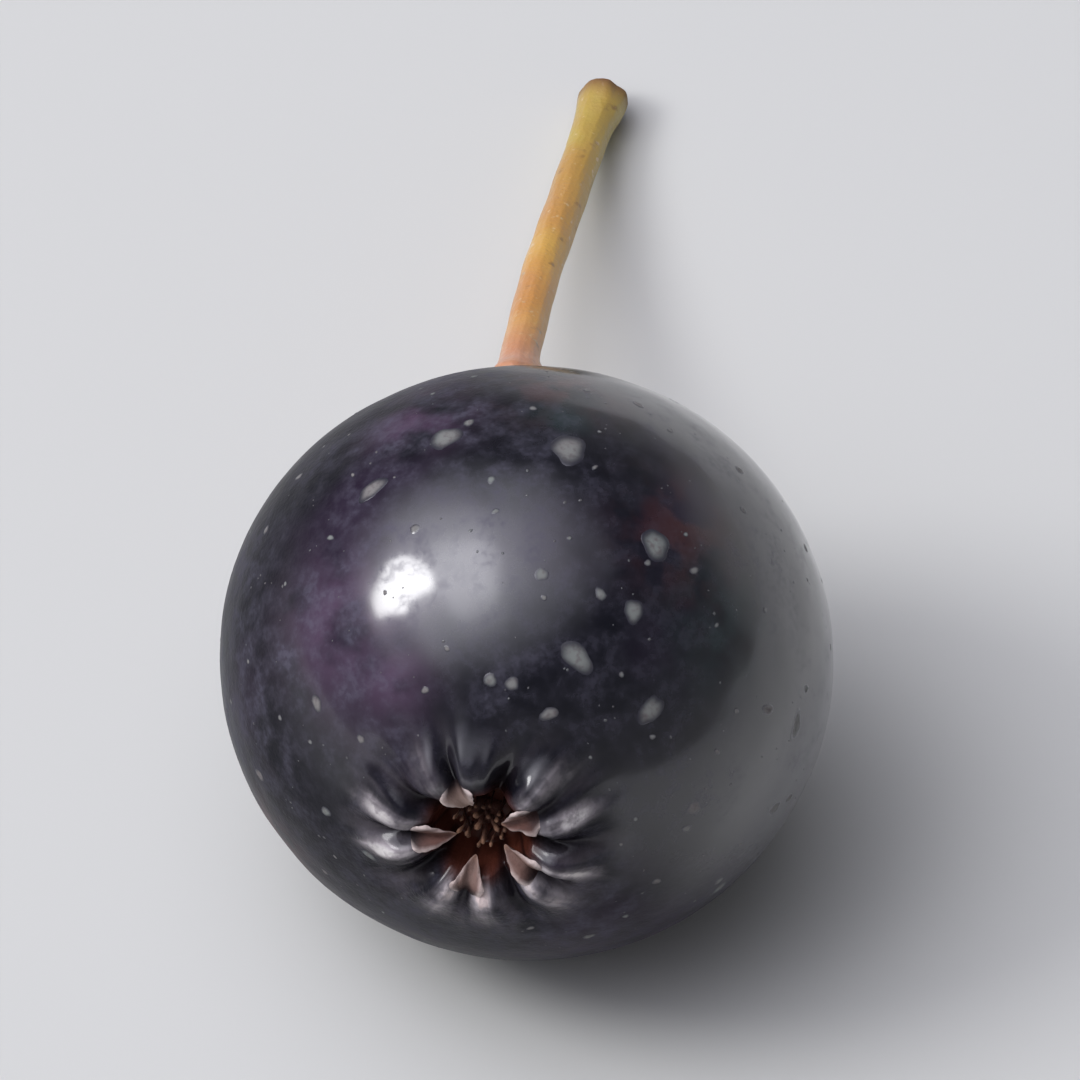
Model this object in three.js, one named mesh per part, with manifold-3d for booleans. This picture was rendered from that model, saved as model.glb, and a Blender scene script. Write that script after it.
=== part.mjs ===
// An aronia berry (black chokeberry), as picked: the fruit with its calyx crown, lying on its side with
// its stalk running back and down to the surface that it rests on.
//
// Units are millimetres, +Z is up and the origin is on the resting surface, straight below the middle of
// the fruit. The crown looks towards -Y, a little raised, and the stalk lies behind, towards +Y.

import * as THREE from 'three';
import { LoftGeometry } from 'three/addons/geometries/LoftGeometry.js';
import { mergeVertices } from 'three/addons/utils/BufferGeometryUtils.js';
import Module from 'manifold-3d';

// ---- Driving dimensions -----------------------------------------------------------------------------

const FRUIT_DIAMETER = 11.5;
const FRUIT_LENGTH = 10.8; // from the shoulder round the crown to the shoulder round the stalk
const FLAT_RADIUS = 1.3; // the small flat on which the fruit sits

const AXIS_RAISED = 18; // degrees by which the crown end is raised above the horizon
const AXIS_TURNED = 10; // degrees by which the crown end is turned from -Y towards -X

const LOBES = 5;
const CROWN_SPIN = 32; // degrees by which the crown is turned round the fruit's axis
const CROWN_RADIUS = 2.9; // outer end of the folds that run into the crown
const CROWN_RIM_RADIUS = 1.55;
const CROWN_RIM_RISE = 0.32;
const CUP_RADIUS = 0.86; // the open middle of the crown, inside the ends of the lobes
const CUP_DEPTH = 0.6;
const LOBE_DROP = 0.4; // how far the lobes sink from the rim towards the cup
const SLIT_DEPTH = 0.42;
const SLIT_NARROWNESS = 4; // power that narrows the slit between two lobes
const CREASE_DEPTH = 0.26; // the shallow fold along the middle of each lobe
const CREASE_NARROWNESS = 10;

const SEPAL_ROOT = 1.5; // distance from the axis at which a dried sepal tip starts
const SEPAL_TIP = 0.48; // distance from the axis at which it ends
const SEPAL_HALF_WIDTH = 0.5;
const SEPAL_CUPPING = 0.7; // how strongly its edges turn up
const SEPAL_THICKNESS = 0.09;

const STYLE_COUNT = 5;
const STYLE_LENGTH = 0.62;
const STYLE_RADIUS = 0.055;
const STYLE_BASE_RADIUS = 0.24;

const DIMPLE_RADIUS = 1.9; // the hollow round the stalk
const DIMPLE_DEPTH = 0.42;
const SEAT_RISE = 0.01; // how far the seat of the stalk rises towards its middle

const STALK_LENGTH = 13;
const STALK_RADIUS = 0.38;
const STALK_FOOT_RADIUS = 0.66; // where it meets the fruit
const STALK_KNOB_RADIUS = 0.48; // where it broke from its branch
const STALK_NODE = 3.4; // distance from the foot to the node with the scars of two small bracts
const FOOT_TURNED = - 3; // degrees from +Y towards +X in which the foot lies, seen from the fruit's middle
const FOOT_LOWERED = 14; // degrees by which it lies lower than the fruit's middle
const STALK_HEADING = 8.5; // degrees from +Y towards +X in which the knob lies, seen from the foot
const STALK_STRAIGHTNESS = 0.988; // straight distance from the foot to the knob, as a share of the length
const STALK_END_TURNED = 14; // degrees from +Y towards +X in which the free end points
const STALK_END_SLOPE = 8; // degrees by which the free end still runs down

const GAP = 0.04; // air left between two pieces that touch

// ---- Helpers ----------------------------------------------------------------------------------------

const { cos, sin, exp, sqrt, min, max, PI } = Math;
const radians = THREE.MathUtils.degToRad;
const smooth = ( low, high, x ) => THREE.MathUtils.smoothstep( x, low, high );
const bell = ( x, middle, width ) => exp( - ( ( ( x - middle ) / width ) ** 2 ) );
const range = ( count, make ) => Array.from( { length: count }, ( _, i ) => make( i ) );

const wasm = await Module();
wasm.setup();

// A closed three.js geometry as a manifold-3d solid.
function solidFrom( geometry ) {

	const bare = new THREE.BufferGeometry().setAttribute( 'position', geometry.getAttribute( 'position' ) );
	if ( geometry.index ) bare.setIndex( geometry.index );
	const merged = mergeVertices( bare, 1e-3 );
	return new wasm.Manifold( new wasm.Mesh( {
		numProp: 3,
		vertProperties: merged.getAttribute( 'position' ).array,
		triVerts: new Uint32Array( merged.index.array ),
	} ) );

}

// A manifold-3d solid as a three.js geometry.
function geometryFrom( solid ) {

	const { vertProperties, triVerts } = solid.getMesh();
	const geometry = new THREE.BufferGeometry()
		.setAttribute( 'position', new THREE.BufferAttribute( new Float32Array( vertProperties ), 3 ) )
		.setIndex( new THREE.BufferAttribute( new Uint32Array( triVerts ), 1 ) );
	geometry.computeVertexNormals();
	return geometry;

}

// A closed tube along a curve, with a radius for each place along it and each direction round it.
function loftAlong( curve, steps, sides, radiusAt ) {

	const { normals, binormals } = curve.computeFrenetFrames( steps );
	const section = ( k ) => range( sides, ( i ) => {

		const turn = ( i / sides ) * 2 * PI;
		const radius = radiusAt( k / steps, turn );
		return curve.getPointAt( k / steps )
			.addScaledVector( normals[ k ], radius * cos( turn ) )
			.addScaledVector( binormals[ k ], radius * sin( turn ) );

	} );

	return new LoftGeometry( range( steps + 1, section ), { capStart: true, capEnd: true } );

}

// ---- Materials --------------------------------------------------------------------------------------

const skin = new THREE.MeshStandardMaterial( { color: 0x15131d, roughness: 0.3, metalness: 0 } );
const driedSepal = new THREE.MeshStandardMaterial( { color: 0x9a6a4a, roughness: 0.8, metalness: 0 } );
const driedFlower = new THREE.MeshStandardMaterial( { color: 0x5a3424, roughness: 0.9, metalness: 0 } );
const stalkBark = new THREE.MeshStandardMaterial( { color: 0xc08a45, roughness: 0.5, metalness: 0 } );

// ---- How the fruit lies -----------------------------------------------------------------------------

// The direction that is turned from +Y towards +X and then lowered, both in degrees.
function direction( turned, lowered ) {

	const level = cos( radians( lowered ) );
	return new THREE.Vector3(
		level * sin( radians( turned ) ), level * cos( radians( turned ) ), - sin( radians( lowered ) ) );

}

const alongAxis = new THREE.Vector3( 0, 0, 1 );
const crownwards = direction( AXIS_TURNED, AXIS_RAISED ).negate();
const footwards = direction( FOOT_TURNED, FOOT_LOWERED );
const lying = new THREE.Quaternion().setFromUnitVectors( alongAxis, crownwards )
	.multiply( new THREE.Quaternion().setFromAxisAngle( alongAxis, radians( CROWN_SPIN ) ) );

// The stalk's foot isn't quite opposite the crown: this turn brings the end of the axis to it.
const stalkLean = new THREE.Quaternion().setFromUnitVectors(
	alongAxis.clone().negate(), footwards.clone().applyQuaternion( lying.clone().invert() ) );

// ---- The fruit, in its own frame: +Z along its axis to the crown, origin in its middle --------------

const EQUATOR = FRUIT_DIAMETER / 2;
const HALF_LENGTH = FRUIT_LENGTH / 2;

// Height of the plain rounded body above the middle, at a distance from the axis.
const bodyHeight = ( radius ) => HALF_LENGTH * sqrt( max( 0, 1 - ( radius / EQUATOR ) ** 2 ) );

// Where a direction round the axis is in the pattern of lobes. The lobes aren't quite evenly spaced.
const lobePhase = ( angle ) => LOBES * ( angle + 0.06 * sin( angle + 1 ) + 0.035 * sin( 2 * angle + 2.2 ) );

// Lift of the crown over the plain body: a low rim, five lobes that sink towards an open cup, a slit
// between each two lobes, and a shallow crease along the middle of each.
function crownLift( radius, angle ) {

	const lobe = cos( lobePhase( angle ) ); // 1 along the middle of a lobe, -1 in a slit
	const slit = ( ( 1 - lobe ) / 2 ) ** SLIT_NARROWNESS;
	const crease = ( ( 1 + lobe ) / 2 ) ** CREASE_NARROWNESS;
	const uneven = 1 + 0.2 * sin( 2 * angle + 0.6 ) + 0.12 * sin( 3 * angle + 2 );
	const slitReach = ( 1 - smooth( CROWN_RIM_RADIUS * 0.7, CROWN_RADIUS, radius ) )
		* smooth( CUP_RADIUS * 0.5, CUP_RADIUS * 1.5, radius );
	return CROWN_RIM_RISE * bell( radius, CROWN_RIM_RADIUS, 0.62 ) * ( 1 + 0.12 * sin( angle + 0.8 ) )
		- LOBE_DROP * ( 1 - smooth( 0.3, CROWN_RIM_RADIUS, radius ) )
		- CUP_DEPTH * ( 1 - smooth( CUP_RADIUS - 0.18, CUP_RADIUS + 0.14, radius ) )
		- SLIT_DEPTH * slit * uneven * slitReach
		- CREASE_DEPTH * crease * ( 2 - uneven ) * bell( radius, CROWN_RIM_RADIUS * 0.95, 0.62 );

}

// Depth of the hollow at the stalk end: nearly flat where the stalk's foot sits, then rising to the shoulder.
const dimpleDepth = ( radius ) => DIMPLE_DEPTH * ( 1 - smooth( STALK_FOOT_RADIUS, DIMPLE_RADIUS, radius ) )
	- SEAT_RISE * max( 0, 1 - radius / STALK_FOOT_RADIUS );

// The body isn't quite round: it swells a little to one side and is a little three-cornered.
const swelling = ( height, angle ) => 1
	+ ( 0.010 * cos( angle - 1.1 ) + 0.006 * cos( 2 * angle + 0.7 ) + 0.004 * cos( 3 * angle ) )
	* sqrt( max( 0, 1 - ( height / HALF_LENGTH ) ** 2 ) );

function crownPoint( radius, angle ) {

	const round = radius * swelling( bodyHeight( radius ), angle );
	return new THREE.Vector3(
		round * cos( angle ), round * sin( angle ), bodyHeight( radius ) + crownLift( radius, angle ) );

}

// The stalk's half leans towards the foot, more and more from the widest place to the end.
function stalkEndPoint( radius, angle ) {

	const height = bodyHeight( max( radius, STALK_FOOT_RADIUS ) );
	const round = radius * swelling( bodyHeight( radius ), angle );
	const lean = new THREE.Quaternion().slerp( stalkLean, smooth( 0, HALF_LENGTH, height ) );
	return new THREE.Vector3( round * cos( angle ), round * sin( angle ), dimpleDepth( radius ) - height )
		.applyQuaternion( lean );

}

// The fruit's rings run from the stalk end to the crown, closest together where the shape turns most.
function fruitGeometry() {

	const SIDES = 90, CUP_RINGS = 18, BODY_RINGS = 20, DIMPLE_RINGS = 8;
	const ringOf = ( point, radius ) => range( SIDES, ( i ) => point( radius, ( i / SIDES ) * 2 * PI ) );
	const innermost = 0.12;
	const dimpleStep = ( DIMPLE_RADIUS - innermost ) / DIMPLE_RINGS;
	const crownStep = ( CROWN_RADIUS - innermost ) / CUP_RINGS;
	const lowAngle = Math.asin( DIMPLE_RADIUS / EQUATOR );
	const highAngle = PI - Math.asin( CROWN_RADIUS / EQUATOR );
	const bodyRing = ( i ) => {

		const around = lowAngle + ( ( i + 1 ) / ( BODY_RINGS + 1 ) ) * ( highAngle - lowAngle );
		return ringOf( around < PI / 2 ? stalkEndPoint : crownPoint, EQUATOR * sin( around ) );

	};

	return new LoftGeometry( [
		...range( DIMPLE_RINGS + 1, ( i ) => ringOf( stalkEndPoint, innermost + i * dimpleStep ) ),
		...range( BODY_RINGS, bodyRing ),
		...range( CUP_RINGS + 1, ( i ) => ringOf( crownPoint, CROWN_RADIUS - i * crownStep ) ),
	], { capStart: true, capEnd: true } );

}

// ---- The fruit as it lies ---------------------------------------------------------------------------

const fruitLying = fruitGeometry().applyQuaternion( lying );
fruitLying.computeBoundingBox();
const flatDepth = FLAT_RADIUS ** 2 / ( 2 * EQUATOR );
const fruitMiddle = new THREE.Vector3( 0, 0, - fruitLying.boundingBox.min.z - flatDepth );

// The fruit with its underside cut flat, level with the resting surface.
function restingFruit() {

	const slab = new THREE.BoxGeometry( FRUIT_DIAMETER, FRUIT_DIAMETER, 2 ).translate( 0, 0, - 1 );
	return geometryFrom( solidFrom( fruitLying.translate( ...fruitMiddle ) ).subtract( solidFrom( slab ) ) );

}

// ---- The dried tips of the sepals, in the fruit's own frame -----------------------------------------

// The direction of the middle of a lobe, found by stepping towards it from its even spacing.
function lobeMiddle( index ) {

	let angle = ( index / LOBES ) * 2 * PI;
	for ( let step = 0; step < 8; step ++ ) angle -= ( lobePhase( angle ) - 2 * PI * index ) / LOBES;
	return angle;

}

// One sepal tip: a thin leaf draped over the inner end of its lobe, that reaches over the cup. Its
// sections run from its root to its point.
function sepalGeometry( angle, length, curl ) {

	const SECTIONS = 13, SIDES = 14;
	const pastLobe = CUP_RADIUS + 0.2;
	const drape = ( radius, across ) => bodyHeight( radius ) + crownLift( radius, angle + across / radius );
	const height = ( radius, across ) => {

		const over = max( 0, pastLobe - radius ); // how far this place is past the lobe's end
		const slope = ( drape( pastLobe + 0.1, across ) - drape( pastLobe, across ) ) / 0.1;
		return drape( max( radius, pastLobe ), across ) - over * slope * 0.7 + curl * over ** 2
			+ SEPAL_CUPPING * across ** 2;

	};

	const section = ( k ) => {

		const t = k / ( SECTIONS - 1 );
		const radius = SEPAL_ROOT - t * length * ( SEPAL_ROOT - SEPAL_TIP );
		const rootRound = sqrt( 1 - ( 1 - min( 1, t / 0.2 ) ) ** 2 );
		const halfWidth = 0.03 + SEPAL_HALF_WIDTH * rootRound * ( 1 - t ) ** 0.9;
		const halfThick = ( SEPAL_THICKNESS / 2 ) * ( 0.5 + 0.5 * sin( PI * smooth( - 0.2, 1.1, t ) ) );
		return range( SIDES, ( i ) => {

			const turn = ( i / SIDES ) * 2 * PI;
			const across = - halfWidth * cos( turn );
			const middle = height( radius, across ) + GAP + halfThick;
			return new THREE.Vector3( radius, across, middle + halfThick * sin( turn ) )
				.applyAxisAngle( new THREE.Vector3( 0, 0, 1 ), angle );

		} );

	};

	return new LoftGeometry( range( SECTIONS, section ), { capStart: true, capEnd: true } );

}

// ---- The dried styles in the cup: five short threads that grow from one pad -------------------------

function stylesGeometry() {

	const floor = crownPoint( 0.12, 0 ).z + GAP;
	const pad = new THREE.CylinderGeometry( STYLE_BASE_RADIUS * 0.8, STYLE_BASE_RADIUS, 0.16, 12 )
		.rotateX( PI / 2 ).translate( 0, 0, floor + 0.08 );
	const style = ( i ) => {

		const lean = ( i / STYLE_COUNT ) * 2 * PI + 0.5;
		const outwards = new THREE.Vector3( cos( lean ), sin( lean ), 0 );
		const from = outwards.clone().multiplyScalar( STYLE_BASE_RADIUS * 0.4 ).setZ( floor + 0.04 );
		const to = outwards.clone().multiplyScalar( STYLE_BASE_RADIUS * 1.35 ).setZ( floor + STYLE_LENGTH );
		const bend = from.clone().lerp( to, 0.5 ).addScaledVector( outwards, - 0.07 );
		return solidFrom( loftAlong( new THREE.QuadraticBezierCurve3( from, bend, to ), 6, 7,
			( t ) => STYLE_RADIUS * ( 1 + 0.5 * smooth( 0.75, 1, t ) ) ) );

	};

	return geometryFrom( range( STYLE_COUNT, style ).reduce( ( sum, s ) => sum.add( s ), solidFrom( pad ) ) );

}

// ---- The stalk --------------------------------------------------------------------------------------

// The stalk's centre line leaves the hollow straight out, then bends gently aside and runs down until its
// knob touches the resting surface.
function stalkLine() {

	const footDistance = bodyHeight( STALK_FOOT_RADIUS ) - DIMPLE_DEPTH + GAP;
	const foot = fruitMiddle.clone().addScaledVector( footwards, footDistance );
	const endWay = direction( STALK_END_TURNED, STALK_END_SLOPE );
	const handle = STALK_LENGTH / 3;
	const knobHeight = STALK_KNOB_RADIUS + 0.02;
	const heading = radians( STALK_HEADING );
	const reach = sqrt( ( STALK_LENGTH * STALK_STRAIGHTNESS ) ** 2 - ( foot.z - knobHeight ) ** 2 );
	const knob = new THREE.Vector3(
		foot.x + reach * sin( heading ), foot.y + reach * cos( heading ), knobHeight );
	return new THREE.CubicBezierCurve3(
		foot,
		foot.clone().addScaledVector( footwards, handle ),
		knob.clone().addScaledVector( endWay, - handle ),
		knob );

}

// The stalk is flared where it meets the fruit, swollen and rounded where it broke from its branch, and
// has a node with two small scars of fallen bracts.
function stalkRadius( t, turn ) {

	const along = t * STALK_LENGTH;
	const left = STALK_LENGTH - along;
	const scar = ( place, side ) => 0.1 * bell( along, place, 0.24 ) * bell( cos( turn - side ), 1, 0.35 );
	const plain = STALK_RADIUS
		+ ( STALK_FOOT_RADIUS - STALK_RADIUS ) * exp( - ( along / 0.55 ) )
		+ ( STALK_KNOB_RADIUS - STALK_RADIUS ) * bell( left, 0.4, 0.6 )
		+ 0.08 * bell( along, STALK_NODE, 0.4 )
		+ scar( STALK_NODE - 0.15, 0.9 ) + scar( STALK_NODE + 0.25, 3.6 );
	return plain * ( 1 - 0.5 * ( 1 - smooth( 0, 0.34, left ) ) ** 2 );

}

// ---- The whole berry --------------------------------------------------------------------------------

function piece( name, geometry, material ) {

	const mesh = new THREE.Mesh( geometry, material );
	mesh.name = name;
	return mesh;

}

const berry = new THREE.Group();
berry.add( piece( 'fruit', restingFruit(), skin ) );
berry.add( piece( 'stalk', loftAlong( stalkLine(), 46, 14, stalkRadius ), stalkBark ) );

// The crown's own pieces sit in the fruit's tilted frame.
const crown = new THREE.Group();
crown.position.copy( fruitMiddle );
crown.quaternion.copy( lying );
for ( let i = 0; i < LOBES; i ++ ) {

	const length = [ 1, 0.92, 1.04, 0.88, 0.97 ][ i ];
	const curl = [ 0.1, - 0.5, 0.3, - 0.35, - 0.1 ][ i ];
	const geometry = sepalGeometry( lobeMiddle( i ), length, curl );
	crown.add( piece( `sepal_${ i + 1 }`, geometry, driedSepal ) );

}

crown.add( piece( 'dried_styles', stylesGeometry(), driedFlower ) );
berry.add( crown );

export default berry;
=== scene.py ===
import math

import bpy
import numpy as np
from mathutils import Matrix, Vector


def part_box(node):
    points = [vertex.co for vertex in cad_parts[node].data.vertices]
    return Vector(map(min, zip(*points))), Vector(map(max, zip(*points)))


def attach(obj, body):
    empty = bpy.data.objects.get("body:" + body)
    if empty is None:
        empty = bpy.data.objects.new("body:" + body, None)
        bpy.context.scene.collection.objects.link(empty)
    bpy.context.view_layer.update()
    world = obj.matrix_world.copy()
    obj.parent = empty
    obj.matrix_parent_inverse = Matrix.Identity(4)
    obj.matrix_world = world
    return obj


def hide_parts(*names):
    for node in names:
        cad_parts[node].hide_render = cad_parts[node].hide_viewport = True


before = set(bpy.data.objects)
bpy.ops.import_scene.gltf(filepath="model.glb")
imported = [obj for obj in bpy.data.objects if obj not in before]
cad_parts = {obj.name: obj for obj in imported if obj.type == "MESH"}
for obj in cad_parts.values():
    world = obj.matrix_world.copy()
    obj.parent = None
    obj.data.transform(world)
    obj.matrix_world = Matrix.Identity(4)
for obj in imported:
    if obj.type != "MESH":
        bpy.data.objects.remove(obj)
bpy.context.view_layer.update()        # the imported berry: fruit, stalk, five sepal tips and the dried styles

# An aronia berry as picked. The near-black fruit lies on its side with its calyx crown towards the
# viewer, and its stalk runs back and down to the surface. The fruit carries a thin bloom and pale corky
# lenticels. Shapes are worked out in millimetres in the fruit's own frame, whose +Z is the fruit's axis
# towards the crown, and are then laid down as the berry lies.

MM = 0.001

# ---- Sizes of the berry, in millimetres and degrees ----

EQUATOR = 5.75
HALF_LENGTH = 5.4
AXIS_RAISED = 18
AXIS_TURNED = 10

LOBES = 5
CROWN_SPIN = 32
CROWN_RADIUS = 2.9
CROWN_RIM_RADIUS = 1.55
CROWN_RIM_RISE = 0.32
CUP_RADIUS = 0.86
CUP_DEPTH = 0.6
LOBE_DROP = 0.4
SLIT_DEPTH = 0.42
SLIT_NARROWNESS = 4
CREASE_DEPTH = 0.26
CREASE_NARROWNESS = 10

SEPAL_ROOT = 1.5
SEPAL_TIP = 0.48
SEPAL_HALF_WIDTH = 0.5
SEPAL_CUPPING = 0.7
SEPAL_THICKNESS = 0.09
SEPAL_LENGTHS = (1, 0.92, 1.04, 0.88, 0.97)
SEPAL_CURLS = (0.1, -0.5, 0.3, -0.35, -0.1)
# How pale each sepal's free part is: partly its own colour, partly painted light, paler on the tips that catch
# the light and darker on those in shade
SEPAL_PALENESS_AND_LIGHT = (0.1, 0.75, 0.1, 0.3, 0.25)

DIMPLE_RADIUS = 1.9
DIMPLE_DEPTH = 0.42

STALK_LENGTH = 13
STALK_RADIUS = 0.38
STALK_FOOT_RADIUS = 0.66
STALK_KNOB_RADIUS = 0.48
STALK_NODE = 3.4
FOOT_TURNED = -3
FOOT_LOWERED = 14
STALK_HEADING = 8.5
STALK_STRAIGHTNESS = 0.988
STALK_END_TURNED = 14
STALK_END_SLOPE = 8
# Rings of the torn cup in the stalk's broken end: share of its radius, how far they stand out
TORN_CUP = ((0.82, 0.03), (0.6, -0.05), (0.3, -0.09), (0.08, -0.1))

STYLES = 5
STAMENS = 17
# Rings of the pad under the styles: share of its radius, height over the floor of the cup
PAD_RINGS = ((1.0, -0.05), (1.0, 0.05), (0.85, 0.13), (0.5, 0.18), (0.15, 0.19))
PAD_RADIUS = 0.3

# Rings of each mesh, and points to a ring
HOLLOW_RINGS, BODY_RINGS, CROWN_RINGS, FRUIT_SIDES = 32, 92, 124, 384
SEPAL_RINGS, SEPAL_SIDES = 64, 44
PAD_SIDES = 28
THREAD_RINGS, THREAD_SIDES = 12, 8
STALK_RINGS, STALK_SIDES = 520, 80
CLEAR_SIDES, SMALL_SIDES, SPECK_SIDES = 28, 12, 6

# ---- Lenticels and tints ----

# Lenticels that show clearly: degrees from the crown, degrees round the axis, radius, stretch
CLEAR_LENTICELS = (
    (85, 66, 0.20, 1.3),
    (84, 42, 0.25, 1.1),
    (70, 21, 0.19, 1.3),
    (57, 19, 0.15, 1.1),
    (44, 26, 0.17, 1.8),
    (43, 0, 0.15, 1.6),
    (72, 328, 0.12, 1.9),
    (66, 310, 0.12, 1.1),
    (44, 324, 0.11, 1.2),
    (60, 289, 0.12, 1.3),
    (76, 80, 0.14, 1.6),
    (35, 42, 0.10, 1.1),
    (56, 41, 0.09, 1.2),
)
# Rings of a lenticel from foot to top: share of its radius, share of its height, how skinlike its colour
DOME_RINGS = (
    (1.0, -0.7, 1.0),
    (0.93, -0.15, 0.95),
    (0.8, 0.15, 0.78),
    (0.66, 0.4, 0.55),
    (0.5, 0.65, 0.3),
    (0.34, 0.85, 0.12),
    (0.16, 0.97, 0.0),
)
SPECK_RINGS = ((1.0, -0.3, 0.9), (0.8, 0.3, 0.55))
SMALL_LENTICELS, SPECKS = 190, 560  # how many are scattered over the whole round of the fruit
GOLDEN_ANGLE = 137.508

# Tints of the skin: colour, the noise that breaks it up (lumps to the metre, low, high), and its patches
# (degrees from the crown, degrees round the axis, reach in degrees)
TINTS = {
    "violet": ((0.078, 0.044, 0.082), (900, 0.28, 0.58),
               ((51, 93, 13), (38, 84, 8), (92, 72, 9), (105, 205, 17), (140, 130, 18), (70, 260, 12))),
    "maroon": ((0.050, 0.017, 0.018), (1500, 0.38, 0.58),
               ((75, 16, 10), (103, 46, 10), (120, 262, 15), (88, 300, 10), (60, 170, 9))),
    "teal": ((0.014, 0.026, 0.028), (1200, 0.30, 0.60),
             ((66, 0, 12), (93, 44, 6), (110, 335, 14), (80, 150, 14), (125, 90, 12))),
}
RUBBED_SIDE = np.array([0.92, 0.15, 0.36])  # the way towards the side where the bloom is rubbed off most
SHADED_CREST = 54  # degrees round the axis where painted shade makes the crown's streaks and ridges least pale
LIT_CREST = 148  # degrees round the axis of the two opposite sides where a painted highlight makes them palest farther out


# ---- Arithmetic ----

def smooth(low, high, x):
    """0 below low and 1 above high, joined by t * t * (3 - 2 t)."""
    t = np.clip((x - low) / (high - low), 0, 1)
    return t * t * (3 - 2 * t)


def bell(x, middle, width):
    """1 at the middle, falling off to both sides as exp of minus the square of the distance in widths."""
    return np.exp(-(((x - middle) / width) ** 2))


def unit(vectors):
    """Each vector divided by its length."""
    return vectors / np.linalg.norm(vectors, axis=-1, keepdims=True)


def round_angles(count):
    """Evenly spaced angles round a circle, in radians."""
    return np.arange(count) / count * 2 * math.pi


def round_axis(across, angle, height):
    """Points at distances from the Z axis, at angles round it and at heights."""
    return np.stack(np.broadcast_arrays(across * np.cos(angle), across * np.sin(angle), height), -1)


def circles(side, front, angles):
    """Directions at the angles, in the planes that the directions side and front span."""
    return np.cos(angles)[:, None] * side[..., None, :] + np.sin(angles)[:, None] * front[..., None, :]


def unevenness(points, shortest, longest, seed, waves=28):
    """An uneven height of about -1 to 1: the sum of plane sine waves, over the square root of their number.
    Their directions, phases and lengths between shortest and longest are drawn with a fixed seed."""
    chance = np.random.default_rng(seed)
    ways = unit(chance.normal(size=(waves, 3)))
    lengths = np.exp(chance.uniform(math.log(shortest), math.log(longest), waves))
    phases = chance.uniform(0, 2 * math.pi, waves)
    turns = points @ (ways * (2 * math.pi / lengths)[:, None]).T + phases
    return np.sin(turns).sum(-1) / math.sqrt(waves)


def direction(turned, lowered):
    """The direction that is turned from +Y towards +X and then lowered, both in degrees."""
    turned, lowered = math.radians(turned), math.radians(lowered)
    level = math.cos(lowered)
    return np.array([level * math.sin(turned), level * math.cos(turned), -math.sin(lowered)])


def turn_about(axis, degrees):
    """The matrix that turns a column vector about an axis by an angle, after Rodrigues' formula."""
    x, y, z = axis
    cross = np.array([[0, -z, y], [z, 0, -x], [-y, x, 0]], float)
    angle = math.radians(degrees)
    return np.eye(3) + math.sin(angle) * cross + (1 - math.cos(angle)) * cross @ cross


# ---- How the fruit lies ----

CROWNWARDS = -direction(AXIS_TURNED, AXIS_RAISED)
FOOTWARDS = direction(FOOT_TURNED, FOOT_LOWERED)
LEVELLING = turn_about(unit(np.cross((0, 0, 1), CROWNWARDS)), 90 - AXIS_RAISED)
LYING = LEVELLING @ turn_about((0, 0, 1), CROWN_SPIN)


def leaned(points, share):
    """Points of the fruit's own frame turned by a share of the turn that brings the end of the axis to the
    stalk's foot, which isn't quite opposite the crown: Rodrigues' formula with an angle for each point."""
    foot = FOOTWARDS @ LYING
    axis = unit(np.cross((0, 0, -1), foot))
    angle = (share * math.acos(-foot[2]))[..., None]
    along = (points @ axis)[..., None] * axis
    return along + (points - along) * np.cos(angle) + np.cross(axis, points) * np.sin(angle)


# ---- The fruit's shape ----

def body_height(radius):
    """Height of the plain rounded body over its middle: an ellipse of the two half sizes."""
    return HALF_LENGTH * np.sqrt(np.maximum(0, 1 - (radius / EQUATOR) ** 2))


def lobe_phase(angle):
    """Place in the pattern of lobes, 0 in the middle of one and pi in the slit after it. Two slow sine
    waves set the lobes a little unevenly round the axis."""
    return LOBES * (angle + 0.06 * np.sin(angle + 1) + 0.035 * np.sin(2 * angle + 2.2))


def lobe_middle(index):
    """The direction of the middle of a lobe, found by stepping towards it from its even spacing."""
    angle = index / LOBES * 2 * math.pi
    for _ in range(8):
        angle -= float(lobe_phase(angle) - 2 * math.pi * index) / LOBES
    return angle


def crown_folds(angle):
    """How far a place is in a slit between two lobes, and in the crease along a lobe's middle, 0 to 1:
    powers of half of 1 minus, and of 1 plus, the cosine of the place in the pattern of lobes."""
    lobe = np.cos(lobe_phase(angle))
    return ((1 - lobe) / 2) ** SLIT_NARROWNESS, ((1 + lobe) / 2) ** CREASE_NARROWNESS


def crown_lift(radius, angle):
    """Lift of the crown over the plain body: a bell-shaped rim, a smooth drop over the lobes and a
    steeper one into the cup, less the slits and the creases, which are uneven round the axis."""
    slit, crease = crown_folds(angle)
    uneven = 1 + 0.2 * np.sin(2 * angle + 0.6) + 0.12 * np.sin(3 * angle + 2)
    reach = ((1 - smooth(CROWN_RIM_RADIUS * 0.7, CROWN_RADIUS, radius))
             * smooth(CUP_RADIUS * 0.5, CUP_RADIUS * 1.5, radius))
    return (CROWN_RIM_RISE * bell(radius, CROWN_RIM_RADIUS, 0.62) * (1 + 0.12 * np.sin(angle + 0.8))
            - LOBE_DROP * (1 - smooth(0.3, CROWN_RIM_RADIUS, radius))
            - CUP_DEPTH * (1 - smooth(CUP_RADIUS - 0.18, CUP_RADIUS + 0.14, radius))
            - SLIT_DEPTH * slit * uneven * reach
            - CREASE_DEPTH * crease * (2 - uneven) * bell(radius, CROWN_RIM_RADIUS * 0.95, 0.62))


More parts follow.
